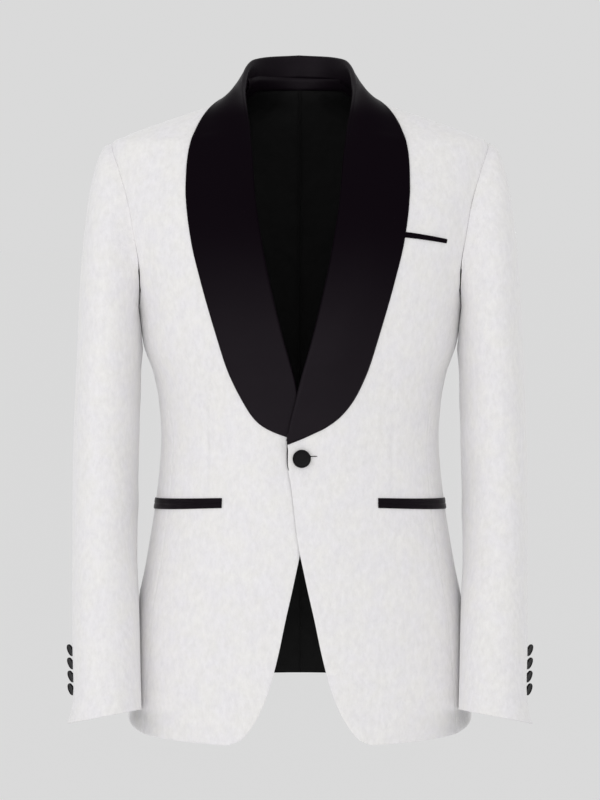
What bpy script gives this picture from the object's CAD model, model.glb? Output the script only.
"""White shawl-collar tuxedo jacket in its worn shape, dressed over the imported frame.

The sections follow the tailor's order: backs, side bodies, fronts, back lining, shawl
collar, sleeves, pockets, front closing, cuff buttons, and last the studio round it.
Metres, +Z up, the jacket faces -Y and the wearer's left side is +X.
"""
import bpy
import numpy as np
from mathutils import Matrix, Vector


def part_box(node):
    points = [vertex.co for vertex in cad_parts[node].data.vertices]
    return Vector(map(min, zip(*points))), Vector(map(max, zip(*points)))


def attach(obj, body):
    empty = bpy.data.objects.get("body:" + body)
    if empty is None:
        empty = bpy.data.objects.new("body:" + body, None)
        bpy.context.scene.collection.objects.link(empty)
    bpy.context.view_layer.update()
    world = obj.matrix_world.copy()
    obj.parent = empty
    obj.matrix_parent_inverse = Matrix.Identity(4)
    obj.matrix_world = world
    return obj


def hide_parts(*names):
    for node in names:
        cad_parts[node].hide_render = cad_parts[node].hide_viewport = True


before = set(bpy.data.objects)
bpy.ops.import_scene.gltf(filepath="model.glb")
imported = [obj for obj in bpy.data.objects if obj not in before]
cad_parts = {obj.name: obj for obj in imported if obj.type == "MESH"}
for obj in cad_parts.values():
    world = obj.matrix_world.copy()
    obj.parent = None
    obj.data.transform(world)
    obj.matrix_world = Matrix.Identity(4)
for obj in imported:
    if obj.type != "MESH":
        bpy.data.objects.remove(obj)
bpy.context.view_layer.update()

# ---- Backs ----------------------------------------------------------------------------
# Two back panels of white wool with a soft brushed nap, sewn together down the centre
# back and joined to the fronts at the shoulders. They hang from the wearer's shoulders.
BACK_NECK_Z, NECK_POINT_Z, WAIST_Z, HEM_Z, BACK_HEM_Z = 0.0225, -0.003, -0.400, -0.7395, -0.7095
CLOTH_WALL = 0.0014
BODY = dict(
    z=(0.060, 0.043, 0.030, 0.0135, 0.0045, -0.003, -0.0131, -0.0321, -0.047, -0.0556,
       -0.075, -0.100, -0.140, -0.190, -0.240, -0.289, -0.3255, -0.360, -0.400, -0.442,
       -0.480, -0.520, -0.5588, -0.5888, -0.650, -0.750),
    wide=(0.0745, 0.0705, 0.0670, 0.0645, 0.0680, 0.0780, 0.1040, 0.1593, 0.1995, 0.2173,
          0.2215, 0.2195, 0.2120, 0.2000, 0.1905, 0.1846, 0.1722, 0.1656, 0.1629, 0.1655,
          0.1700, 0.1765, 0.1835, 0.1900, 0.1970, 0.2050),
    mid=(0, 0, 0, 0, 0, 0, 0, 0, 0, 0, 0, 0, 0.003, 0.010, 0.022, 0.028, 0.024, 0.016,
         0.010, 0.004, 0, 0, 0, 0, 0, 0),
    front=(0.004, 0.010, 0.014, 0.020, 0.025, 0.030, 0.038, 0.050, 0.060, 0.066,
           0.077, 0.090, 0.107, 0.119, 0.125, 0.127, 0.126, 0.124, 0.123, 0.124,
           0.126, 0.128, 0.130, 0.131, 0.133, 0.135),
    back=(0.0730, 0.0755, 0.0765, 0.0785, 0.0810, 0.0840, 0.0890, 0.0970, 0.1030, 0.1060,
          0.1120, 0.1180, 0.1240, 0.1270, 0.1255, 0.1190, 0.1110, 0.1020, 0.0950, 0.0960,
          0.1020, 0.1120, 0.1210, 0.1265, 0.1310, 0.1330),
    square=(2.0, 2.0, 2.0, 2.0, 2.0, 2.0, 2.1, 2.2, 2.25, 2.3, 2.3, 2.3, 2.4, 2.5, 2.5,
            2.45, 2.4, 2.35, 2.3, 2.25, 2.2, 2.2, 2.2, 2.2, 2.2, 2.2))
ARMHOLE = dict(
    turn=(0, 30, 60, 90, 120, 140, 160, 180, 200, 220, 240, 270, 300, 330, 360),
    y=(0.000, -0.0210, -0.0385, -0.0515, -0.0540, -0.0450, -0.0270, 0.004, 0.036, 0.058,
       0.066, 0.063, 0.046, 0.022, 0.000),
    z=(-0.0556, -0.0690, -0.0985, -0.1400, -0.1870, -0.2185, -0.2390, -0.2450, -0.2410,
       -0.2250, -0.1960, -0.1450, -0.0965, -0.0680, -0.0556))
SIDE_SEAM_TURN, BACK_SEAM_TURN = 145.0, 232.0
CHEST_ROWS = 8
LOWER_ROWS = (-0.420, -0.446, -0.480, -0.518, -0.556, -0.596, -0.636, -0.676, -0.703, -0.720,
              -0.7325, HEM_Z)
BACK_SHARES = (1, 0.975, 0.942, 0.885, 0.800, 0.690, 0.550, 0.390, 0.200, 0)

# Folds of the worn body: from (t0, z0) to (t1, z1), t in degrees round the body towards
# the wearer's left, 0 in front and 180 behind; half width, and height (a trough is < 0).
FOLDS = dict(
    t0=(  4,   5,  -5,  -6,  52, -50,   62,  -60,   84,  -88,  136, -132,  126, -122,
        166, 172, 158, -150, -168,  150, -158,  104, -108,   40,  -36,  150, -146),
    z0=(-.402, -.432, -.425, -.452, -.398, -.372, -.105, -.115, -.300, -.290, -.120, -.135,
        -.150, -.165, -.372, -.402, -.428, -.392, -.440, -.520, -.545, -.540, -.560, -.560,
        -.600, -.052, -.058),
    t1=( 46,  52, -44, -50,  66, -64,   58,  -56,   98, -102,  141, -137,  133, -129,
        -172, -164, -176, -168, 170,  153, -160,  101, -104,   44,  -41,  172, -168),
    z1=(-.352, -.466, -.360, -.480, -.352, -.415, -.232, -.250, -.352, -.345, -.345, -.330,
        -.360, -.350, -.377, -.397, -.434, -.398, -.446, -.700, -.705, -.715, -.715, -.715,
        -.715, -.050, -.054),
    wide=(.016, .018, .016, .020, .015, .014, .017, .016, .010, .009, .010, .012, .013, .012,
          .009, .010, .011, .009, .012, .020, .018, .018, .020, .026, .024, .010, .010),
    high=(.0005, .0004, .0005, .0004, -.0009, -.0006, -.0010, -.0008, -.0014, -.0012,
          .0034, .0028, -.0028, -.0024, -.0026, .0020, -.0022, -.0018, .0016, -.0026,
          -.0022, -.0024, -.0020, -.0007, -.0006, -.0012, -.0012))
METRES_PER_DEGREE = 0.0030


def smooth(at, table, x):
    """Read a table at x by a monotone cubic through its rows (harmonic mean slopes)."""
    at, table, x = np.asarray(at, float), np.asarray(table, float), np.asarray(x, float)
    if at[0] > at[-1]:
        at, table = at[::-1], table[::-1]
    x = np.clip(x, at[0], at[-1])
    gap = np.diff(at).reshape((-1,) + (1,) * (table.ndim - 1))
    rise = np.diff(table, axis=0) / gap
    same = rise[:-1] * rise[1:] > 0
    both = np.where(same, rise[:-1] + rise[1:], 1)
    inner = np.where(same, 2 * rise[:-1] * rise[1:] / both, 0)
    slope = np.concatenate((rise[:1], inner, rise[-1:]))
    i = np.clip(np.searchsorted(at, x, side="right") - 1, 0, len(at) - 2)
    step = np.diff(at)[i].reshape(x.shape + (1,) * (table.ndim - 1))
    u = (x - at[i]).reshape(step.shape) / step
    return (table[i] * (1 + 2 * u) * (1 - u) ** 2 + slope[i] * step * u * (1 - u) ** 2
            + table[i + 1] * u * u * (3 - 2 * u) - slope[i + 1] * step * u * u * (1 - u))


def ease(low, high, x):
    """0 below low, 1 above high, an S-curve between."""
    u = np.clip((x - low) / (high - low), 0, 1)
    return u * u * (3 - 2 * u)


def lerp(a, b, u):
    """The straight mix of a and b by the share u."""
    return a + (b - a) * u


def spread(last, cells, pull=0.8):
    """cells + 1 places from 0 to last, closer at both ends: an even run less a sine."""
    even = np.linspace(0, 1, cells + 1)
    return last * (even - pull * np.sin(2 * np.pi * even) / (2 * np.pi))


def refined(table, rows, columns):
    """A finer table: a monotone cubic is read down every column, then along every row."""
    down = smooth(np.arange(table.shape[0]), table, rows)
    return smooth(np.arange(table.shape[1]), down.swapaxes(0, 1), columns).swapaxes(0, 1)


def section(z):
    """The body's section at height z: half width, middle, depths and squareness."""
    return [smooth(BODY["z"], BODY[key], z) for key in ("wide", "mid", "front", "back", "square")]


def level(x, y, z):
    """|x / wide| and |y / depth|, each to the power square, added: 1 on the form."""
    wide, mid, front, back, square = section(z)
    depth = np.where(y < mid, front + mid, back - mid)
    return np.abs(x / wide) ** square + np.abs((y - mid) / depth) ** square


def body_point(t, z, h=0.0):
    """The rounded section's point at angle t (degrees), moved out by h along the normal."""
    t, z = np.broadcast_arrays(np.radians(np.asarray(t, float)), np.asarray(z, float))
    wide, mid, front, back, square = section(z)
    across, along = np.sin(t), np.cos(t)
    depth = np.where(along >= 0, front + mid, back - mid)
    x = wide * np.sign(across) * np.abs(across) ** (2 / square)
    y = mid - depth * np.sign(along) * np.abs(along) ** (2 / square)
    small = 0.0008
    normal = np.stack([
        square * np.sign(x) * np.abs(x) ** (square - 1) / wide ** square,
        square * np.sign(y - mid) * np.abs(y - mid) ** (square - 1) / depth ** square,
        (level(x, y, z + small) - level(x, y, z - small)) / (2 * small)], axis=-1)
    normal /= np.linalg.norm(normal, axis=-1, keepdims=True)
    return np.stack([x, y, z], axis=-1) + normal * np.asarray(h)[..., None]


def turn_at_x(x, z, behind=False):
    """The angle t where the form is x from the middle."""
    wide, _, _, _, square = section(z)
    part = np.clip(np.abs(x) / wide, 0, 1) ** (square / 2)
    t = np.degrees(np.arcsin(part)) * np.where(np.asarray(x) < 0, -1, 1)
    return np.where(behind, 180 - t, t)


def turn_at_y(y, z):
    """The angle t where the form's side is at y."""
    _, mid, front, back, square = section(z)
    depth = np.where(y < mid, front + mid, back - mid)
    part = np.clip(np.abs(y - mid) / depth, 0, 1) ** (square / 2)
    t = np.degrees(np.arccos(part))
    return np.where(y < mid, t, 180 - t)


def armhole(turn):
    """(y, z) of the armhole seam at an angle round the sleeve."""
    return smooth(ARMHOLE["turn"], ARMHOLE["y"], turn), smooth(ARMHOLE["turn"], ARMHOLE["z"], turn)


def hem_z(t):
    """The hem is level from the front to the sides and rises to the centre back."""
    return lerp(HEM_Z, BACK_HEM_Z, ease(85, 165, t))


def side_seam_turn(z):
    """The seam between front and side body runs down from the armhole."""
    y, low = armhole(SIDE_SEAM_TURN)
    return lerp(float(turn_at_y(y, low)), 62.0, ease(0, 0.20, low - z))


def back_seam_turn(z):
    """The seam between side body and back."""
    y, low = armhole(BACK_SEAM_TURN)
    return lerp(float(turn_at_y(y, low)), 124.0, ease(0, 0.20, low - z))


def body_rows():
    """Heights that the fronts, sides and back share, from the side seam's top down."""
    top = float(armhole(SIDE_SEAM_TURN)[1])
    return np.concatenate((np.linspace(top, WAIST_Z, CHEST_ROWS + 1)[1:], LOWER_ROWS))


def folds(t, z):
    """Bell curves round the fold lines, lower towards each line's ends, added up."""
    def turned(a, b):
        return (a - b + 180) % 360 - 180
    height = np.zeros(np.broadcast(t, z).shape)
    for t0, z0, t1, z1, wide, high in zip(*(FOLDS[key] for key in FOLDS)):
        across, down = turned(t1, t0) * METRES_PER_DEGREE, z1 - z0
        px, pz = turned(t, t0) * METRES_PER_DEGREE, z - z0
        share = np.clip((px * across + pz * down) / (across ** 2 + down ** 2), 0, 1)
        away = (px - share * across) ** 2 + (pz - share * down) ** 2
        height = height + high * np.exp(-away / wide ** 2) * (0.3 + 0.7 * np.sin(np.pi * share))
    return height


def edge_fall(points, deep, wide=0.0020):
    """How far the cloth turns in at its first and last row and column: bell curves of the
    distance along the cloth."""
    fall = 0
    for axis, ends in ((0, deep[:2]), (1, deep[2:])):
        step = np.linalg.norm(np.diff(points, axis=axis), axis=-1)
        run = np.concatenate((np.zeros_like(step.take([0], axis)), np.cumsum(step, axis)), axis)
        back = run.take([-1], axis) - run
        fall = fall + ends[0] * np.exp(-(run / wide) ** 2) + ends[1] * np.exp(-(back / wide) ** 2)
    return fall


def worn(layout, side, lift=0.0, turned_in=(0.0005, 0.0011, 0.0004, 0.0004)):
    """A panel's points: the form, plus lift and folds, less the turned edges."""
    t, z = layout[..., 0], layout[..., 1]
    height = lift + folds(t * side, z) - edge_fall(body_point(t, z), turned_in)
    return body_point(t, z, height) * (side, 1, 1)


def sheet_mesh(name, points, wall, finishes, flip=False):
    """A grid of points made cloth: quads between neighbours, a UV map in metres along the
    cloth, and a Solidify wall whose inner side takes the second finish."""
    rows, columns = points.shape[:2]
    corner = (np.arange(rows - 1)[:, None] * columns + np.arange(columns - 1)).ravel()
    faces = np.stack([corner, corner + columns, corner + columns + 1, corner + 1], axis=1)
    if flip:
        faces = faces[:, ::-1]
    mesh = bpy.data.meshes.new(name)
    mesh.vertices.add(rows * columns)
    mesh.vertices.foreach_set("co", points.astype(np.float32).ravel())
    mesh.loops.add(faces.size)
    mesh.loops.foreach_set("vertex_index", faces.astype(np.int32).ravel())
    mesh.polygons.add(len(faces))
    mesh.polygons.foreach_set("loop_start", np.arange(0, faces.size, 4, dtype=np.int32))
    mesh.polygons.foreach_set("use_smooth", np.ones(len(faces), bool))
    across = np.linalg.norm(np.diff(points, axis=1), axis=-1)
    down = np.linalg.norm(np.diff(points, axis=0), axis=-1)
    u = np.concatenate((np.zeros((rows, 1)), np.cumsum(across, 1)), 1)
    v = np.concatenate((np.zeros((1, columns)), np.cumsum(down, 0)), 0)
    uv = np.stack([u, -v], axis=-1).reshape(-1, 2)[faces.ravel()]
    mesh.uv_layers.new(name="UVMap").data.foreach_set("uv", uv.astype(np.float32).ravel())
    mesh.update(calc_edges=True)
    for finish in finishes:
        mesh.materials.append(finish)
    made = bpy.data.objects.new(name, mesh)
    bpy.context.scene.collection.objects.link(made)
    thick = made.modifiers.new("wall", "SOLIDIFY")
    thick.thickness = wall
    thick.offset = 0.0
    thick.material_offset = len(finishes) - 1
    return made


def node(tree, kind, links=(), **values):
    """A shader node with values on its sockets and properties, and links into it."""
    made = tree.nodes.new(kind)
    for key, value in values.items():
        if key[0].isupper():
            made.inputs[key.replace("_", " ")].default_value = value
        else:
            setattr(made, key, value)
    for socket, source in links:
        tree.links.new(source, made.inputs[socket])
    return made


def fabric(name, colour, roughness, **shader_values):
    """An empty Principled material with its constant values set on the shader itself."""
    made = bpy.data.materials.new(name)
    made.use_nodes = True
    tree = made.node_tree
    shader = tree.nodes["Principled BSDF"]
    shader.inputs["Base Color"].default_value = (*colour, 1)
    shader.inputs["Roughness"].default_value = roughness
    for key, value in shader_values.items():
        shader.inputs[key.replace("_", " ")].default_value = value
    return made, tree, shader


def brushed_wool():
    """White wool: fine uneven nap in two sizes, a faint lilac-grey mottle, soft sheen."""
    made, tree, shader = fabric("brushed_white_wool", (0.90, 0.885, 0.89), 0.95,
                                Sheen_Weight=0.90, Sheen_Roughness=0.45,
                                Specular_IOR_Level=0.12)
    place = node(tree, "ShaderNodeTexCoord")
    tall = node(tree, "ShaderNodeMapping", [("Vector", place.outputs["Object"])],
                Scale=(1.0, 1.0, 0.55))
    nap = node(tree, "ShaderNodeTexNoise", [("Vector", tall.outputs[0])],
               Scale=420.0, Detail=3.0, Roughness=0.65)
    mottle = node(tree, "ShaderNodeTexNoise", [("Vector", tall.outputs[0])],
                  Scale=190.0, Detail=4.0, Roughness=0.65)
    cloud = node(tree, "ShaderNodeTexNoise", [("Vector", place.outputs["Object"])],
                 Scale=40.0, Detail=3.0, Roughness=0.55)
    tint = node(tree, "ShaderNodeValToRGB", [("Fac", cloud.outputs[0])])
    tint.color_ramp.elements[0].position = 0.36
    tint.color_ramp.elements[0].color = (0.893, 0.878, 0.898, 1)
    tint.color_ramp.elements[1].position = 0.64
    tint.color_ramp.elements[1].color = (0.907, 0.893, 0.883, 1)
    grain = node(tree, "ShaderNodeMapRange", [("Value", mottle.outputs[0])],
                 From_Min=0.3, From_Max=0.7, To_Min=0.945, To_Max=1.045)
    cloth = node(tree, "ShaderNodeVectorMath", [(0, tint.outputs["Color"]), (1, grain.outputs[0])],
                 operation="MULTIPLY")
    tree.links.new(cloth.outputs[0], shader.inputs["Base Color"])
    deep = node(tree, "ShaderNodeBump", [("Height", mottle.outputs[0])],
                Strength=0.5, Distance=0.0014)
    fine = node(tree, "ShaderNodeBump", [("Height", nap.outputs[0]), ("Normal", deep.outputs[0])],
                Strength=0.6, Distance=0.0006)
    tree.links.new(fine.outputs[0], shader.inputs["Normal"])
    return made


def lining_twill():
    """Black lining: a fine diagonal twill along the cloth, with a low smooth gloss."""
    made, tree, shader = fabric("black_lining_twill", (0.0054, 0.0054, 0.0055), 0.55,
                                Specular_IOR_Level=0.15)
    place = node(tree, "ShaderNodeTexCoord")
    turned = node(tree, "ShaderNodeMapping", [("Vector", place.outputs["UV"])],
                  Rotation=(0, 0, 0.9), Scale=(900.0, 900.0, 1.0))
    rib = node(tree, "ShaderNodeTexWave", [("Vector", turned.outputs[0])],
               Scale=1.0, Distortion=0.6)
    drape = node(tree, "ShaderNodeTexNoise", [("Vector", place.outputs["Object"])],
                 Scale=34.0, Detail=2.0)
    soft = node(tree, "ShaderNodeBump", [("Height", drape.outputs[0])],
                Strength=0.5, Distance=0.004)
    bump = node(tree, "ShaderNodeBump", [("Height", rib.outputs[0]), ("Normal", soft.outputs[0])],
                Strength=0.25, Distance=0.0003)
    tree.links.new(bump.outputs[0], shader.inputs["Normal"])
    return made


def back_layout():
    """(t, z) of the back: each row runs from the centre back past a guide below the neck
    point to the armhole or the seam, in two straight stretches."""
    shares = np.array(BACK_SHARES, float)
    low_z = float(armhole(BACK_SEAM_TURN)[1])
    arm_y, arm_z = armhole(lerp(BACK_SEAM_TURN, 360.0, shares))
    arm_t = turn_at_y(arm_y, arm_z)
    arm_t[0] = 90.0
    below = body_rows()
    fall = (below - low_z) / (HEM_Z - low_z)
    guide_z = lerp(low_z, NECK_POINT_Z, shares)
    seam_t = back_seam_turn(below)
    mid_t = turn_at_x(0.078, below, behind=True)
    corners_t = (np.full(len(shares) + len(below), 180.0),
                 np.concatenate((turn_at_x(0.078, guide_z, behind=True), mid_t)),
                 np.concatenate((arm_t, seam_t)))
    corners_z = (np.concatenate((lerp(low_z, BACK_NECK_Z, shares), lerp(low_z, BACK_HEM_Z, fall))),
                 np.concatenate((guide_z, lerp(low_z, hem_z(mid_t), fall))),
                 np.concatenate((arm_z, lerp(low_z, hem_z(seam_t), fall))))
    t, z = (np.hstack([lerp(a[:, None], b[:, None], np.linspace(0, 1, 5)[:-1]),
                       lerp(b[:, None], c[:, None], np.linspace(0, 1, 6))])
            for a, b, c in (corners_t, corners_z))
    return np.stack([t[:, ::-1], z[:, ::-1]], axis=-1)


wool, lining = brushed_wool(), lining_twill()
back_table = back_layout()
for name, side in (("left", 1), ("right", -1)):
    fine_table = refined(back_table, spread(len(back_table) - 1, 170), spread(9, 60))
    back = sheet_mesh(f"back_panel_{name}", worn(fine_table, side), CLOTH_WALL,
                      (wool, lining), flip=side < 0)
    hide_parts(f"back_{name}")
    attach(back, "root")

# ---- Side bodies ------------------------------------------------------------------------
# A narrow panel of the same wool under each arm, sewn between front and back from the
# underside of the armhole to the hem. Without a vent, both its seams close to the hem.
for name, side in (("left", 1), ("right", -1)):
    columns = np.linspace(0, 1, 7)
    top_y, top_z = armhole(lerp(SIDE_SEAM_TURN, BACK_SEAM_TURN, columns))
    rows = body_rows()
    t = lerp(side_seam_turn(rows)[:, None], back_seam_turn(rows)[:, None], columns)
    back_z = float(armhole(BACK_SEAM_TURN)[1])
    rear = lerp(back_z, hem_z(back_seam_turn(rows)), (rows - back_z) / (HEM_Z - back_z))
    table = np.stack([np.vstack((turn_at_y(top_y, top_z), t)),
                      np.vstack((top_z, lerp(rows[:, None], rear[:, None], columns)))], axis=-1)
    fine_table = refined(table, spread(len(table) - 1, 130), spread(6, 40))
    panel = sheet_mesh(f"side_body_{name}", worn(fine_table, side), CLOTH_WALL,
                       (wool, lining), flip=side < 0)
    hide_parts(f"side_{name}")
    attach(panel, "root")

# ---- Fronts -----------------------------------------------------------------------------
# Two foreparts of white wool on canvas, from the shoulder seam to the rounded hem corner,
# shaped by a dart over each hip pocket. The wearer's left front laps over the right one.
NECK_START = 0.22
ARM_ROWS, ARM_SHARE, FALL_COLUMNS = 10, 0.55, 6
CLOTH, LAYER, SATIN = 0.0018, 0.0008, 0.0014
ROLL_RADIUS = CLOTH / 2 + LAYER + SATIN / 2
EDGE_SETBACK = 0.0040
COLLAR_SHIFT, NECK_SHIFT, TIP_SHIFT = -0.0026, -0.0013, -0.0036
DART = dict(x=0.1035, low_x=0.1055, top=-0.290, bottom=-0.458, deep=0.0010, wide=0.0016)
FRONT_EDGE = dict(
    z=(-0.403, -0.418, -0.434, -0.4655, -0.4886, -0.5144, -0.5831, -0.6527, -0.6800, -0.7050,
       -0.7210, -0.7325, -0.7395),
    x=(-0.0128, -0.0134, -0.0110, -0.0076, -0.0047, -0.0012, 0.0138, 0.0288, 0.0368, 0.0475,
       0.0572, 0.0670, 0.0810))
# The collar's two lines, from the centre back (0) to the lapel's end (1): the roll line and
# the outer edge. Behind the shoulders they are turns round the body, in front they are x.
SHAWL_LINES = dict(
    along=(0.000, 0.080, 0.140, 0.180, 0.220, 0.240, 0.262, 0.285, 0.310, 0.335, 0.360, 0.390,
           0.420, 0.450, 0.480, 0.570, 0.660, 0.760, 0.810, 0.860, 0.900, 0.940, 0.970, 1.000),
    roll_t=(180.0, 152.6, 129.9, 113.0, 90.0, 74.9, 60.0, 43.0, 29.0) + (20.0,) * 15,
    roll_x=(0.0,) * 4 + (0.0645, 0.0634, 0.0617, 0.0609, 0.0593, 0.0575, 0.0555, 0.0537, 0.0517,
            0.0500, 0.0486, 0.0425, 0.0350, 0.0235, 0.0145, 0.0040, -0.0025, -0.0080, -0.0104,
            -0.0122),
    roll_z=(0.0500, 0.0479, 0.0432, 0.0330, 0.0155, 0.0085, 0.0005, -0.0080, -0.0180, -0.0290,
            -0.0410, -0.0570, -0.0740, -0.0950, -0.1130, -0.1560, -0.1970, -0.2480, -0.2830,
            -0.3200, -0.3465, -0.3690, -0.3810, -0.3905),
    edge_t=(180.0, 150.0, 126.0, 109.0, 90.0, 74.3, 61.0, 50.5, 41.8) + (35.0,) * 15,
    edge_x=(0.0,) * 4 + (0.0890, 0.0950, 0.1012, 0.1073, 0.1133, 0.1180, 0.1221, 0.1251, 0.1262,
            0.1265, 0.1255, 0.1195, 0.1088, 0.0900, 0.0776, 0.0604, 0.0472, 0.0335, 0.0180,
            -0.0110),
    edge_z=(0.0045, 0.0008, -0.0035, -0.0058, -0.0077, -0.0114, -0.0172, -0.0247, -0.0342,
            -0.0445, -0.0556, -0.0720, -0.0880, -0.1085, -0.1250, -0.1680, -0.2120, -0.2770,
            -0.3148, -0.3490, -0.3662, -0.3768, -0.3842, -0.3955))
SHAWL = dict(
    along=(0.000, 0.080, 0.140, 0.180, 0.220, 0.240, 0.262, 0.285, 0.310, 0.335, 0.360, 0.390,
           0.420, 0.450, 0.480, 0.570, 0.660, 0.760, 0.860, 0.940, 1.000),
    inside=(0.565, 0.552, 0.540, 0.515, 0.500, 0.437, 0.329, 0.255, 0.189, 0.167, 0.167, 0.167,
            0.167, 0.167, 0.167, 0.167, 0.167, 0.100, 0.020, 0.010, 0.010),
    bulge=(0.0030, 0.0040, 0.0050, 0.0060, 0.0065, 0.0064, 0.0061, 0.0058, 0.0054, 0.0049,
           0.0042, 0.0034, 0.0028, 0.0023, 0.0020, 0.0016, 0.0012, 0.0008, 0.0003, 0.0000, 0.0000),
    stand_off=(0.0012, 0.0012, 0.0014, 0.0016, 0.0018, 0.0018, 0.0018, 0.0017, 0.0013, 0.0009,
               0.0007, 0.0005, 0.0003, 0.0001, 0.0000, 0.0000, 0.0000, 0.0000, 0.0000, 0.0000,
               0.0000),
    soft=(0.0003, 0.0004, 0.0005, 0.0006, 0.0007, 0.0009, 0.0012, 0.0014, 0.0014, 0.0012,
          0.0009, 0.0007, 0.0005, 0.0003, 0.0002, 0.0000, 0.0000, 0.0000, 0.0000, 0.0000, 0.0000),
    wrap=(90, 90, 90, 90, 90, 90, 90, 90, 90, 90, 90, 90, 90, 90, 90, 90, 90, 80, 12, 6, 6))
LIFT = dict(z=(-0.230, -0.310, -0.405, -0.450, -0.530, -0.600),
            h=(0.0, 0.0053, 0.0053, 0.0032, 0.0032, 0.0))
LIFT_X = (0.022, 0.090)


def front_lift(t, z):
    """Height of the top front over the form, where it passes over the under front."""
    x = body_point(t, z)[..., 0]
    return smooth(LIFT["z"], LIFT["h"], z) * (1 - ease(*LIFT_X, x))


def shawl_line(along, shift):
    """Roll point and edge point of the collar as (t, z), and the width between them. In
    front of the shoulders both points are read by their x, moved sideways by shift."""
    ends = []
    for line in ("roll", "edge"):
        t, x, z = (smooth(SHAWL_LINES["along"], SHAWL_LINES[line + key], along)
                   for key in ("_t", "_x", "_z"))
        x = x + shift * ease(0.28, 0.48, along)
        if line == "edge":
            near_tip = ease(0.84, 0.94, along) * (1 - ease(0.96, 1.0, along))
            x = x + shift / COLLAR_SHIFT * TIP_SHIFT * near_tip
        ends.append(np.stack([lerp(t, turn_at_x(x, z), ease(0.24, 0.30, along)), z], axis=-1))
    roll, edge = ends
    wide = np.linalg.norm(body_point(roll[..., 0], roll[..., 1])
                          - body_point(edge[..., 0], edge[..., 1]), axis=-1)
    return roll, edge, wide


def lapel_stations():
    """Places along the collar where the front has its rows, shoulder seam to lapel end."""
    share = np.concatenate((ARM_SHARE * np.linspace(0, 1, ARM_ROWS + 1) ** 1.35,
                            np.linspace(ARM_SHARE, 1, CHEST_ROWS + 1)[1:]))
    return lerp(NECK_START, 1.0, share)


def front_layout(shift):
    """(t, z) of a front: under the lapel its columns follow the lapel's own fall, then run
    on to the armhole or the side seam; below the lapel rows are level."""
    roll, edge, width = shawl_line(lapel_stations(), shift)
    width = width[:, None]
    arm_y, arm_z = armhole(SIDE_SEAM_TURN * np.linspace(0, 1, ARM_ROWS + 1) ** 1.15)
    arm_t = turn_at_y(arm_y, arm_z)
    arm_t[0] = 90.0
    rows = body_rows()
    side_t = np.concatenate((arm_t, side_seam_turn(rows)))[:len(width), None]
    side_z = np.concatenate((arm_z, rows))[:len(width), None]
    neck = ((NECK_POINT_Z - roll[:, 1]) / (edge[:, 1] - roll[:, 1]))[:, None]
    set_in = EDGE_SETBACK - (NECK_SHIFT if shift > 0 else 0)
    first = np.maximum(neck, np.minimum(set_in / width, 0.5))
    fall = np.arange(1, FALL_COLUMNS + 1) / FALL_COLUMNS
    under = np.hstack((first, lerp(ROLL_RADIUS / width, 1, fall)))
    under = np.maximum(under, first + 0.02 * np.arange(FALL_COLUMNS + 1))
    beyond = np.linspace(0, 1, 9)[1:]
    t, z = (np.hstack((lerp(roll[:, i:i + 1], edge[:, i:i + 1], under),
                       lerp(edge[:, i:i + 1], far, beyond)))
            for i, far in ((0, side_t), (1, side_z)))
    t[0] = 90.0
    tip = (t[-1] - t[-1, 0]) / (t[-1, -1] - t[-1, 0])
    low = np.array(LOWER_ROWS)
    free_t = turn_at_x(smooth(FRONT_EDGE["z"], FRONT_EDGE["x"], low), low)[:, None]
    blend = ease(0, 6, np.arange(1, len(low) + 1.0))[:, None]
    share = lerp(tip, np.linspace(0, 1, len(tip)), blend)
    return np.stack([np.vstack((t, lerp(free_t, side_seam_turn(low)[:, None], share))),
                     np.vstack((z, np.repeat(low[:, None], len(tip), axis=1)))], axis=-1)


def dart(t, z):
    """A narrow groove down the front of the hip: a bell curve across a nearly upright line."""
    down = (z - DART["top"]) / (DART["bottom"] - DART["top"])
    away = body_point(t, z)[..., 0] - lerp(DART["x"], DART["low_x"], down)
    ends = ease(0, 0.25, down) * (1 - ease(0.985, 1.0, down))
    return -DART["deep"] * ends * np.exp(-(away / DART["wide"]) ** 2)


for name, side in (("left", 1), ("right", -1)):
    table = front_layout(COLLAR_SHIFT * side)
    fine_table = refined(table, spread(len(table) - 1, 230, 0.75), spread(14, 120, 0.7))
    t, z = fine_table[..., 0], fine_table[..., 1]
    lift = (front_lift(t, z) if side > 0 else 0) + dart(t, z)
    front = sheet_mesh(f"forepart_{name}",
                       worn(fine_table, side, lift, (0.0006, 0.0004, 0.0006, 0.0004)),
                       CLOTH_WALL, (wool, lining), flip=side < 0)
    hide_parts(f"front_{name}")
    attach(front, "root")

# ---- Back lining ------------------------------------------------------------------------
# Black twill lining inside the back, in two halves with a centre seam, felled to a strip
# of black satin below the collar. It stops a little above the hem.
LINING_WALL, LINING_DEPTH = 0.0008, -(CLOTH / 2 + LAYER + 0.0005)
STRIP = dict(reach=78.0, top=(0.0262, 0.0225), bottom=(0.0098, 0.0055), tucked=-0.0010,
             proud=-0.0034, dip=0.012, edge_roll=0.0009)


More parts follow.
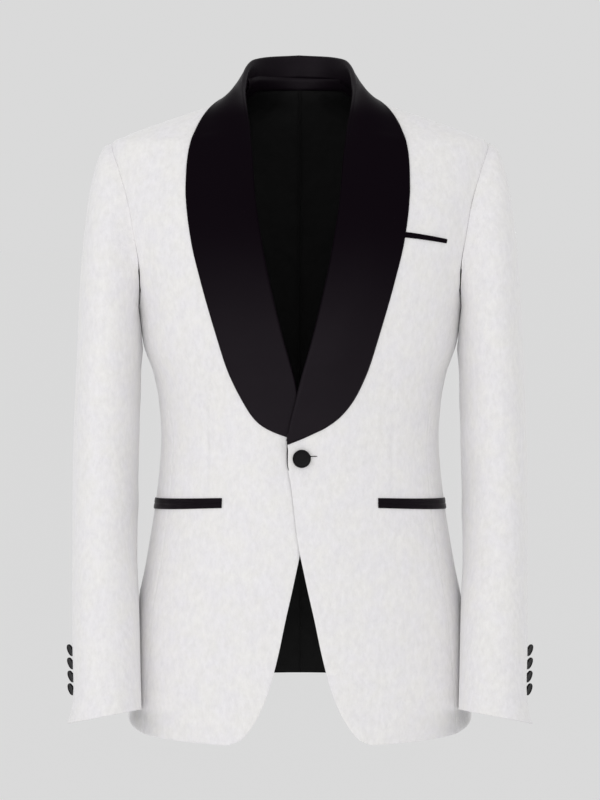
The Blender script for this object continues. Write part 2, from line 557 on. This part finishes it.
def black_satin():
    """Black silk satin: smooth weft floats as fine streaks along the cloth, soft gloss."""
    made, tree, shader = fabric("black_silk_satin", (0.0042, 0.0024, 0.0043), 0.42,
                                Specular_IOR_Level=0.10, Specular_Tint=(1.0, 0.90, 1.0, 1.0))
    place = node(tree, "ShaderNodeTexCoord")
    long = node(tree, "ShaderNodeMapping", [("Vector", place.outputs["UV"])],
                Scale=(350.0, 2400.0, 1.0))
    floats = node(tree, "ShaderNodeTexNoise", [("Vector", long.outputs[0])],
                  Scale=1.0, Detail=2.0)
    uneven = node(tree, "ShaderNodeTexNoise", [("Vector", place.outputs["Object"])],
                  Scale=45.0, Detail=3.0)
    ramp = node(tree, "ShaderNodeMapRange", [("Value", uneven.outputs[0])],
                To_Min=0.36, To_Max=0.46)
    tree.links.new(ramp.outputs[0], shader.inputs["Roughness"])
    height = node(tree, "ShaderNodeSeparateXYZ", [("Vector", place.outputs["Object"])])
    grain = node(tree, "ShaderNodeMapRange", [("Value", height.outputs["Z"])],
                 interpolation_type="SMOOTHSTEP", From_Min=-0.14, From_Max=-0.37,
                 To_Min=0.015, To_Max=0.17)
    neck = node(tree, "ShaderNodeMapRange", [("Value", height.outputs["Z"])],
                interpolation_type="SMOOTHSTEP", From_Min=-0.03, From_Max=0.02,
                To_Min=0.0, To_Max=0.11)
    both = node(tree, "ShaderNodeMath", [(0, grain.outputs[0]), (1, neck.outputs[0])],
                operation="ADD")
    pocket = node(tree, "ShaderNodeMapRange", [("Value", height.outputs["Z"])],
                  interpolation_type="SMOOTHSTEP", From_Min=-0.41, From_Max=-0.45,
                  To_Min=0.0, To_Max=0.09)
    gloss = node(tree, "ShaderNodeMath", [(0, both.outputs[0]), (1, pocket.outputs[0])],
                 operation="SUBTRACT")
    tree.links.new(gloss.outputs[0], shader.inputs["Specular IOR Level"])
    soft = node(tree, "ShaderNodeBump", [("Height", uneven.outputs[0])],
                Strength=0.25, Distance=0.0015)
    bump = node(tree, "ShaderNodeBump",
                [("Height", floats.outputs[0]), ("Normal", soft.outputs[0])],
                Strength=0.3, Distance=0.0002)
    tree.links.new(bump.outputs[0], shader.inputs["Normal"])
    return made


satin = black_satin()
for name, side in (("left", 1), ("right", -1)):
    fine_table = refined(back_table, spread(len(back_table) - 1.15, 130), spread(9, 44))
    half = sheet_mesh(f"back_lining_{name}",
                      worn(fine_table, side, LINING_DEPTH, (0.0, 0.0, 0.0, 0.0008)),
                      LINING_WALL, (lining,), flip=side < 0)
    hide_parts(f"lining_{name}")
    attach(half, "root")
across, down = np.linspace(-1, 1, 91)[None, :], np.linspace(0, 1, 15)[:, None]
t = 180 - STRIP["reach"] * across + 0 * down
top, bottom = (lerp(STRIP[key][0], STRIP[key][1], across ** 2) for key in ("top", "bottom"))
bottom = bottom - STRIP["dip"] * ease(0.66, 0.90, np.abs(across))
z = lerp(top, bottom, down)
tuck = (lerp(STRIP["tucked"], STRIP["proud"], ease(0, 0.35, down))
        - STRIP["edge_roll"] * ease(0.9, 1.0, 1.9 - down))
band = sheet_mesh("neck_strip", body_point(t, z, tuck + folds(t, z)), 0.0006, (satin,))
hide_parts("neck_band")
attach(band, "root")

# ---- Shawl collar -----------------------------------------------------------------------
# One unbroken collar in black silk satin, joined at the centre back. The satin starts
# inside, turns over the roll line and lies on the fronts down to the single button.
FALL_CELLS, ARC_CELLS, LEG_CELLS = 44, 12, 6


def shawl_points(side):
    """Sections of the collar: a straight leg inside, an arc over the roll line, and the fall,
    whose height is a low hump over the cloth that ends in a turned edge. At the turn from
    neck to shoulder every section is drawn towards the mean of its neighbours."""
    shift = COLLAR_SHIFT * side
    along = np.concatenate((np.linspace(0, NECK_START, 46)[:-1],
                            lerp(NECK_START, 1.0, np.linspace(0, 1, 150))))
    inside, bulge, stand_off, soft, wrap = (
        smooth(SHAWL["along"], SHAWL[key], along)[:, None]
        for key in ("inside", "bulge", "stand_off", "soft", "wrap"))
    roll, edge, width = shawl_line(along, shift)
    width = width[:, None]
    r = ROLL_RADIUS + soft
    wrap = np.radians(wrap)
    turns = lerp(-wrap, np.pi / 2, np.linspace(0, 1, ARC_CELLS + 1))
    arc_d, arc_h = r - r * np.cos(turns), r * np.sin(turns)
    leg = (np.maximum(lerp(r, width, inside) - r, 0.0004)
           * np.linspace(1, 0, LEG_CELLS + 1)[:-1])
    leg_d = arc_d[:, :1] + leg * np.sin(wrap)
    leg_h = arc_h[:, :1] - leg * np.cos(wrap)
    q = (spread(1, FALL_CELLS, 0.6) * 0.5 + np.linspace(0, 1, FALL_CELLS + 1) * 0.5)[1:]
    from_edge = (1 - q) * (width - r)
    fall_h = (ROLL_RADIUS + soft * (1 - q) + stand_off * q + bulge * 6.75 * q * (1 - q) ** 2
              - 0.0011 * np.exp(-(from_edge / 0.0014) ** 2))
    d = np.hstack((leg_d, arc_d, lerp(r, width, q)))
    h = np.hstack((leg_h, arc_h, fall_h))
    t, z = (roll[:, i:i + 1] + (edge - roll)[:, i:i + 1] * d / width for i in (0, 1))
    if side > 0:
        h = h + front_lift(t, z)
    points = body_point(t, z, h + folds(t * side, z)) * (side, 1, 1)
    points[..., 0] += NECK_SHIFT * (1 - ease(0.28, 0.48, along))[:, None]
    turn = (ease(0.13, 0.18, along) * (1 - ease(0.27, 0.33, along)))[1:-1, None, None]
    for _ in range(24):
        points[1:-1] += turn * ((points[:-2] + points[2:]) / 2 - points[1:-1]) * 0.6
    return points


collar_points = np.vstack((shawl_points(-1)[:0:-1], shawl_points(1)))
collar = sheet_mesh("shawl_collar", collar_points, 0.0010, (satin,))
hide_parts("shawl_left", "shawl_right")
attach(collar, "root")

# ---- Sleeves ----------------------------------------------------------------------------
# Each sleeve has a wide top part and a narrow under part in the same wool, sewn along the
# front and back of the arm and set into the armhole. They bend a little forward.
ARM_CLEAR, CAP_GAP = 0.0012, 0.0002
FRONT_SLEEVE_SEAM, BACK_SLEEVE_SEAM = 172.0, 312.0
CAP_STATIONS = 8
SLEEVE_SQUARE = 2.15
SLEEVE = dict(
    x_out=(0.2173, 0.2262, 0.2328, 0.2379, 0.2421, 0.2465, 0.2507, 0.2545, 0.2577, 0.2597,
           0.2620, 0.2640, 0.2650, 0.2648, 0.2645, 0.2640, 0.2628, 0.2612, 0.2630, 0.2672),
    z_out=(-0.0556, -0.0590, -0.0700, -0.0860, -0.1020, -0.1280, -0.1600, -0.2000, -0.2500,
           -0.2960, -0.3450, -0.3950, -0.4450, -0.4900, -0.5380, -0.5900, -0.6430, -0.6850,
           -0.7060, -0.7245),
    x_in=(0.1925, 0.1918, 0.1908, 0.1898, 0.1888, 0.1876, 0.1866, 0.1858, 0.1856, 0.1881,
          0.1895, 0.1901, 0.1901, 0.1912, 0.1910, 0.1885, 0.1866, 0.1854, 0.1846, 0.1840),
    z_in=(-0.2450, -0.2462, -0.2480, -0.2500, -0.2525, -0.2570, -0.2630, -0.2740, -0.2950,
          -0.3250, -0.3620, -0.4050, -0.4480, -0.4900, -0.5350, -0.5820, -0.6300, -0.6710,
          -0.6910, -0.7080),
    y_mid=(0.002, 0.002, 0.002, 0.001, 0.000, -0.001, -0.002, -0.003, -0.004, -0.006,
           -0.009, -0.014, -0.021, -0.029, -0.039, -0.051, -0.063, -0.073, -0.078, -0.082),
    depth=(0.0640, 0.0660, 0.0680, 0.0700, 0.0720, 0.0745, 0.0765, 0.0780, 0.0780, 0.0765,
           0.0740, 0.0712, 0.0685, 0.0660, 0.0630, 0.0600, 0.0565, 0.0540, 0.0530, 0.0525),
    lean=(0, 0, 0, 0, 0, 0, 0, 0, 0, 0.02, 0.04, 0.07, 0.10, 0.13, 0.16, 0.18, 0.20, 0.21,
          0.21, 0.21))
# Folds of a sleeve: from (station, turn) to (station, turn), half width in stations and in
# degrees, and height. Station 0 is the armhole and 19 the hem; turn 90 is in front.
SLEEVE_FOLDS = dict(
    s0=(10.2, 11.4, 12.6, 13.4, 9.0, 12.2, 4.5, 5.0, 14.6, 16.2, 8.4, 6.0),
    turn0=(118, 112, 122, 108, 150, 268, 262, 318, 300, 284, 232, 200),
    s1=(11.0, 12.3, 13.0, 14.4, 10.6, 13.4, 9.5, 10.5, 15.4, 17.2, 9.8, 8.4),
    turn1=(186, 190, 200, 176, 214, 232, 246, 300, 262, 250, 272, 236),
    wide=(0.42, 0.38, 0.36, 0.44, 0.50, 0.55, 0.9, 0.9, 0.5, 0.5, 0.5, 0.7),
    high=(-0.0016, 0.0012, -0.0014, 0.0010, -0.0012, -0.0025, 0.0030, -0.0025,
          -0.0023, 0.0021, -0.0023, 0.0015))
DEGREES_PER_STATION = 24.0


def body_half_width(y, z):
    """How far out the form's side is at y, and 0 in front of it or behind it."""
    wide, mid, front, back, square = section(z)
    depth = np.where(y < mid, front + mid, back - mid)
    return wide * np.clip(1 - np.abs((y - mid) / depth) ** square, 0, 1) ** (1 / square)


def armhole_seam(turn):
    """Where the sleeve starts: at the armhole on top, and just outside the body below."""
    def on_body(turn, h=0.0):
        y, z = armhole(np.mod(turn, 360))
        return body_point(turn_at_y(y, z), z, h)
    seam = on_body(turn)
    away = np.cross(on_body(turn, 1.0) - seam, on_body(turn + 2.0) - on_body(turn - 2.0))
    away /= np.linalg.norm(away, axis=-1, keepdims=True)
    turn = np.mod(turn, 360)
    under = (ease(100, 150, turn) * (1 - ease(245, 300, turn)))[..., None]
    return seam + lerp(CAP_GAP * away, (CLOTH + ARM_CLEAR) * np.array([1.0, 0, 0]), under)


def sleeve_ring(read, turn):
    """A rounded ring through the outer and inner line, leaning forward."""
    power = 2 / SLEEVE_SQUARE
    out, ahead = np.cos(np.radians(turn)), np.sin(np.radians(turn))
    out = np.sign(out) * np.abs(out) ** power
    ahead = np.sign(ahead) * np.abs(ahead) ** power
    x = lerp(read["x_in"], read["x_out"], (1 + out) / 2)
    y = read["y_mid"] - read["depth"] * ahead
    z = lerp(read["z_in"], read["z_out"], (1 + out) / 2) + read["lean"] * read["depth"] * ahead
    return np.stack([x, y, z], axis=-1)


def sleeve_point(station, turn):
    """The ring at a station, led over from the armhole's own shape, clear of the body."""
    station, turn = np.broadcast_arrays(np.asarray(station, float), np.asarray(turn, float))
    counts = np.arange(len(SLEEVE["x_out"]))
    ring = sleeve_ring({key: smooth(counts, values, station) for key, values in SLEEVE.items()},
                       turn)
    first = sleeve_ring({key: values[0] for key, values in SLEEVE.items()}, turn)
    share = 1 - ease(0, CAP_STATIONS, station)
    point = ring + (armhole_seam(turn) - first) * share[..., None]
    y, z = point[..., 1], point[..., 2]
    beside = body_half_width(y, z) + CLOTH + ARM_CLEAR
    hanging = (z < -0.2) & (station > 0) & (y < 0.10)
    point[..., 0] = np.maximum(point[..., 0], np.where(hanging, beside, 0))
    return point


def pushed(points, height):
    """Points moved along the normal of their own grid: the cross of its two directions."""
    normal = np.cross(np.gradient(points, axis=1), np.gradient(points, axis=0))
    normal /= np.linalg.norm(normal, axis=-1, keepdims=True)
    return points + normal * height[..., None]


def sleeve_folds(station, turn, side):
    """Bell curves round the fold lines; the right sleeve's folds sit a little lower."""
    turn = np.mod(turn, 360)
    station = station + (0.25 if side < 0 else 0)
    height = np.zeros(np.broadcast(station, turn).shape)
    for s0, a0, s1, a1, wide, high in zip(*(SLEEVE_FOLDS[key] for key in SLEEVE_FOLDS)):
        ds, da = s1 - s0, (a1 - a0) / DEGREES_PER_STATION
        ps, pa = station - s0, (turn - a0) / DEGREES_PER_STATION
        share = np.clip((ps * ds + pa * da) / (ds ** 2 + da ** 2), 0, 1)
        away = (ps - share * ds) ** 2 + (pa - share * da) ** 2
        height = height + high * np.exp(-away / wide ** 2) * np.sin(np.pi * lerp(0.12, 0.88, share))
    return height


for name, side in (("left", 1), ("right", -1)):
    for part, start, end, cells in (("top", BACK_SLEEVE_SEAM - 360, FRONT_SLEEVE_SEAM, 110),
                                    ("under", FRONT_SLEEVE_SEAM, BACK_SLEEVE_SEAM, 64)):
        station = spread(19, 150, 0.6)[:, None]
        turn = (start + spread(end - start, cells, 0.8))[None, ::-1]
        plain = sleeve_point(station, turn)
        height = (sleeve_folds(station, turn, side)
                  - edge_fall(plain, (0.0004, 0.0004, 0.0005, 0.0005)))
        sleeve = sheet_mesh(f"{part}_sleeve_panel_{name}", pushed(plain, height) * (side, 1, 1),
                            CLOTH_WALL, (wool, lining), flip=side < 0)
        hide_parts(f"{part}_sleeve_{name}")
        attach(sleeve, "root")

# ---- Pockets ----------------------------------------------------------------------------
# Hip pockets with two narrow jets of black satin each, and a slim breast jet on the left
# front that starts under the lapel. The jets are folded strips sewn into the cut cloth.
HIP_POCKET = dict(x=0.0880, z=-0.4640, drop=0.0150, length=0.150, height=0.0108, open=0.0022)
BREAST_POCKET = dict(x=0.1165, z=-0.1610, drop=0.0076, length=0.0562, height=0.0058,
                     open=-0.0016)
JET_RISE = 0.0008


def jet_points(size, side, lips):
    """A low strip along the front: its height is a row of rounded lips, from |sin|."""
    start = float(turn_at_x(size["x"], size["z"]))
    turns = start + np.linspace(0, 60, 241)
    track = body_point(turns, size["z"])
    run = np.concatenate(([0], np.cumsum(np.linalg.norm(np.diff(track, axis=0), axis=1))))
    places = spread(1, 90, 0.7)
    t = np.interp(places * size["length"], run, turns)[None]
    down = np.linspace(0, 1, 12 * lips + 1)[:, None]
    tall = size["height"] + size["open"] * places[None]
    z = size["z"] - size["drop"] * places[None] ** 1.15 + (0.5 - down) * tall
    ends = np.minimum(places, 1 - places)[None] * size["length"]
    lip = np.abs(np.sin(lips * np.pi * down)) ** 0.25 * (1 - 0.6 * np.exp(-(ends / 0.0010) ** 2))
    h = CLOTH / 2 + 0.0003 + JET_RISE * lip + folds(t * side, z)
    if side > 0:
        h = h + front_lift(t, z)
    return body_point(np.broadcast_to(t, z.shape), z, h) * (side, 1, 1)


for name, side in (("left", 1), ("right", -1)):
    jets = sheet_mesh(f"hip_pocket_jets_{name}", jet_points(HIP_POCKET, side, 2), 0.0008,
                      (satin,), flip=side < 0)
    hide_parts(f"hip_jets_{name}")
    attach(jets, "root")
breast = sheet_mesh("breast_pocket_jet", jet_points(BREAST_POCKET, 1, 1), 0.0008, (satin,))
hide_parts("breast_jet")
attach(breast, "root")

# ---- Front closing ----------------------------------------------------------------------
# One black button of cast resin with a flat face and a raised rim, sewn to the under
# front, and the worked buttonhole in the top front that it has been pushed through.
BUTTON = dict(x=0.0019, z=-0.4113)
BUTTONHOLE = dict(start=0.0095, end=0.0190, rise=0.0026, wide=0.0011)
FACING_EDGE = dict(top=-0.3925, bottom=-0.4250, wide=0.0017, proud=0.0006)


def resin():
    """Black cast resin: dense, with a satin polish and very faint tool haze."""
    made, tree, shader = fabric("black_resin", (0.0035, 0.0030, 0.0038), 0.42,
                                Specular_IOR_Level=0.14)
    place = node(tree, "ShaderNodeTexCoord")
    haze = node(tree, "ShaderNodeTexNoise", [("Vector", place.outputs["Object"])],
                Scale=900.0, Detail=3.0)
    gloss = node(tree, "ShaderNodeMapRange", [("Value", haze.outputs[0])],
                 To_Min=0.36, To_Max=0.50)
    tree.links.new(gloss.outputs[0], shader.inputs["Roughness"])
    bump = node(tree, "ShaderNodeBump", [("Height", haze.outputs[0])],
                Strength=0.15, Distance=0.0001)
    tree.links.new(bump.outputs[0], shader.inputs["Normal"])
    return made


def turned_disc(name, profile, centre, facing, sides):
    """A closed lathe form: the profile's radius and height carried round an axis that points
    along facing, with one point at each pole."""
    profile = np.array(profile)
    axis = np.asarray(facing, float) / np.linalg.norm(facing)
    first = np.cross(axis, (0, 0, 1))
    first /= np.linalg.norm(first)
    second = np.cross(axis, first)
    angle = np.linspace(0, 2 * np.pi, sides, endpoint=False)
    around = np.cos(angle)[:, None] * first + np.sin(angle)[:, None] * second
    rings = profile[1:-1, 0][:, None, None] * around + profile[1:-1, 1][:, None, None] * axis
    points = np.vstack((rings.reshape(-1, 3), profile[0, 1] * axis, profile[-1, 1] * axis))
    count, k = len(rings), np.arange(sides)
    after = (k + 1) % sides
    quads = [[r * sides + a, (r + 1) * sides + a, (r + 1) * sides + b, r * sides + b]
             for r in range(count - 1) for a, b in zip(k.tolist(), after.tolist())]
    top = [[count * sides, a, b] for a, b in zip(k.tolist(), after.tolist())]
    last = (count - 1) * sides
    low = [[count * sides + 1, last + b, last + a] for a, b in zip(k.tolist(), after.tolist())]
    mesh = bpy.data.meshes.new(name)
    mesh.from_pydata((points + np.asarray(centre)).tolist(), [], quads + top + low)
    mesh.shade_smooth()
    made = bpy.data.objects.new(name, mesh)
    bpy.context.scene.collection.objects.link(made)
    return made


black_resin = resin()
t = float(turn_at_x(BUTTON["x"], BUTTON["z"]))
base = body_point(t, BUTTON["z"])
outward = body_point(t, BUTTON["z"], 1.0) - base
low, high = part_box("front_button")
centre = np.array(low + high) / 2
button = turned_disc("closing_button", (
    (0, 0.0011), (0.0060, 0.0011), (0.0080, 0.0012), (0.0086, 0.0016), (0.0092, 0.0020),
    (0.0098, 0.0020), (0.0102, 0.0015), (0.0103, 0.0008), (0.0100, -0.0004),
    (0.0088, -0.0014), (0.0060, -0.0020), (0, -0.0021)), centre, outward, 72)
button.data.materials.append(black_resin)
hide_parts("front_button")
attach(button, "root")

places = np.linspace(0, 1, 40)[None]
slit_x = lerp(BUTTONHOLE["start"], BUTTONHOLE["end"], places)
for name, lip, finish, slot_name, rise in (
        ("buttonhole_stitching", 1.0, wool, "white_cloth", 0.0003),
        ("buttonhole_slit", 0.42, lining, "black_lining", 0.0007)):
    across = np.linspace(1, -1, 13)[:, None]
    half = BUTTONHOLE["wide"] * lip * np.sqrt(np.clip(1 - (places - 0.1) ** 4 / 0.66, 0.02, 1))
    z = BUTTON["z"] + BUTTONHOLE["rise"] + across * half
    t = turn_at_x(np.broadcast_to(slit_x, z.shape), z)
    h = front_lift(t, z) + CLOTH / 2 + rise + 0.0004 * lip * np.sqrt(1 - 0.98 * across ** 2)
    patch = sheet_mesh(name, body_point(t, z, h + folds(t, z)), 0.0003, (finish,))
    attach(patch, "root")

down = np.linspace(0, 1, 60)[:, None]
z = lerp(FACING_EDGE["top"], FACING_EDGE["bottom"], down)
wide = FACING_EDGE["wide"] * (1 - down ** 1.5) + 0.0002
x = (smooth(FRONT_EDGE["z"], FRONT_EDGE["x"], z) - FACING_EDGE["proud"] * np.sin(np.pi * down)
     - wide * np.array([[1.0, 0.66, 0.33, 0.0]]) + 0.0003)
z = np.broadcast_to(z, x.shape)
t = turn_at_x(x, z)
h = front_lift(t, z) - 0.0002 + 0.0004 * np.array([[0.0, 0.8, 0.8, 0.0]])
sliver = sheet_mesh("facing_edge", body_point(t, z, h + folds(t, z)), 0.0005, (satin,))
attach(sliver, "root")

# ---- Cuff buttons -----------------------------------------------------------------------
# Four small buttons of the same resin above each sleeve hem, set close enough to lean on
# each other, each held by a short shank of black thread.
CUFF_BUTTON = dict(pitch=0.0147, low_z=-0.6885, turn=5.0, ahead=0.55, droop=0.30, raised=0.0034,
                   tucked_in=0.0020)
station = np.linspace(14, 19, 101)
track = sleeve_point(station, CUFF_BUTTON["turn"])
for name, side in (("left", 1), ("right", -1)):
    for i in range(4):
        button_z = CUFF_BUTTON["low_z"] + CUFF_BUTTON["pitch"] * i + CUFF_BUTTON["raised"]
        here = float(np.interp(-button_z, -track[:, 2], station))
        on, below, beside = (sleeve_point(here + down, CUFF_BUTTON["turn"] + round_)
                             for down, round_ in ((0, 0), (0.1, 0), (0, 3.0)))
        outward = np.cross(below - on, beside - on)
        outward *= np.sign(outward[0]) / np.linalg.norm(outward)
        facing = outward - (0, CUFF_BUTTON["ahead"], CUFF_BUTTON["droop"])
        low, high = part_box(f"cuff_button_{name}_{i + 1}")
        centre = (np.array(low + high) / 2
                  + (-CUFF_BUTTON["tucked_in"] * side, 0, CUFF_BUTTON["raised"]))
        flip = np.array([side, 1, 1])
        small = turned_disc(f"sleeve_button_{name}_{i + 1}", (
            (0, 0.0009), (0.0042, 0.0009), (0.0056, 0.0010), (0.0062, 0.0014),
            (0.0068, 0.0015), (0.0072, 0.0010), (0.0073, 0.0003), (0.0069, -0.0008),
            (0.0050, -0.0014), (0, -0.0016)), centre, facing * flip, 48)
        small.data.materials.append(black_resin)
        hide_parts(f"cuff_button_{name}_{i + 1}")
        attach(small, "root")
        reach = np.linalg.norm(centre - on * flip)
        shank = turned_disc(f"button_shank_{name}_{i + 1}", (
            (0, reach), (0.0011, reach), (0.0010, reach * 0.6), (0.0013, 0.0004), (0, 0.0)),
            on * flip, centre - on * flip, 12)
        shank.data.materials.append(satin)
        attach(shank, "root")

# ---- Studio -----------------------------------------------------------------------------
# A plain pale floor at the wearer's feet, an even pale surround, and two broad soft lights
# in front, the stronger one from the wearer's right.
SURROUND, PAPER = 0.700, 0.965


def studio_light(kind, name, energy, place, aim, **size):
    """A soft lamp at a place, turned to shine at a point."""
    lamp = bpy.data.lights.new(name, kind)
    lamp.energy = energy
    for key, value in size.items():
        setattr(lamp, key, value)
    made = bpy.data.objects.new(name, lamp)
    made.location = place
    made.rotation_euler = (Vector(aim) - Vector(place)).to_track_quat("-Z", "Y").to_euler()
    bpy.context.scene.collection.objects.link(made)
    made.visible_camera = False


studio_light("AREA", "key", 4.6, (-1.15, -1.55, 0.05), (0.0, 0.0, -0.35), shape="RECTANGLE",
             size=1.3, size_y=1.7)
studio_light("SUN", "fill", 0.55, (0.15, -1.6, 0.10), (0.0, 0.0, 0.0), angle=np.radians(50))
world = bpy.data.worlds.new("studio")
bpy.context.scene.world = world
world.use_nodes = True
world.node_tree.nodes["Background"].inputs["Color"].default_value = (SURROUND, SURROUND, SURROUND, 1)
world.node_tree.nodes["Background"].inputs["Strength"].default_value = 1.0

floor_mesh = bpy.data.meshes.new("studio_floor")
reach = 60.0
floor_mesh.from_pydata([(-reach, -reach, -1.45), (reach, -reach, -1.45), (reach, reach, -1.45),
                        (-reach, reach, -1.45)], [], [(0, 1, 2, 3)])
floor = bpy.data.objects.new("studio_floor", floor_mesh)
bpy.context.scene.collection.objects.link(floor)
paper, tree, shader = fabric("studio_paper", (PAPER,) * 3, 1.0,
                             Specular_IOR_Level=0.0)
floor_mesh.materials.append(paper)

camera_data = bpy.data.cameras.new("camera")
camera_data.sensor_width = 36.0
camera_data.lens = 101.25
camera = bpy.data.objects.new("camera", camera_data)
camera.location = (0.0, -2.64, -0.1255)
camera.rotation_euler = (np.radians(85.0), 0.0, 0.0)
bpy.context.scene.collection.objects.link(camera)
bpy.context.scene.camera = camera
bpy.context.scene.view_settings.view_transform = "Standard"

bpy.context.view_layer.update()
